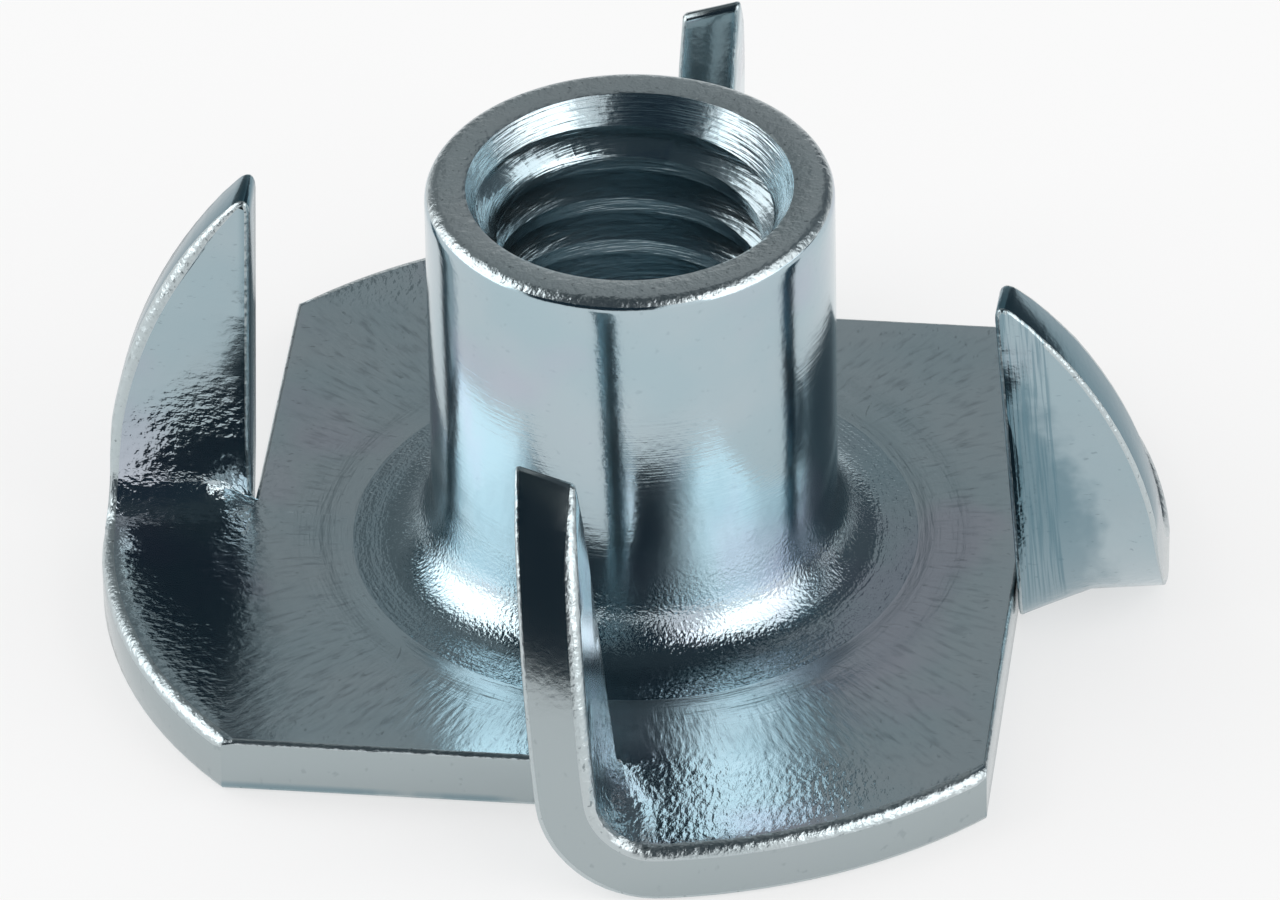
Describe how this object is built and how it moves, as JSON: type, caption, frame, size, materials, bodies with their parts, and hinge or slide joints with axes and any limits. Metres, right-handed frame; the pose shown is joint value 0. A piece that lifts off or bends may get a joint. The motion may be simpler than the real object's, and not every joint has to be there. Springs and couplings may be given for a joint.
{
  "type": "tee nut",
  "caption": "Pronged tee nut pressed from sheet steel: a threaded barrel on a flat flange whose lanced prongs fold up to bite into wood.",
  "frame": {"origin": "centre of the flange underside, on the axis of the barrel", "axes": "+Z along the barrel towards its rim; one prong stands on each of -Y, +X, +Y and -X"},
  "size_m": [0.0168, 0.0168, 0.0077],
  "materials": {
    "zinc_steel": "bright zinc plate with a faint blue passivation"
  },
  "bodies": {
    "root": {"tee_nut": "zinc_steel"}
  },
  "joints": []
}
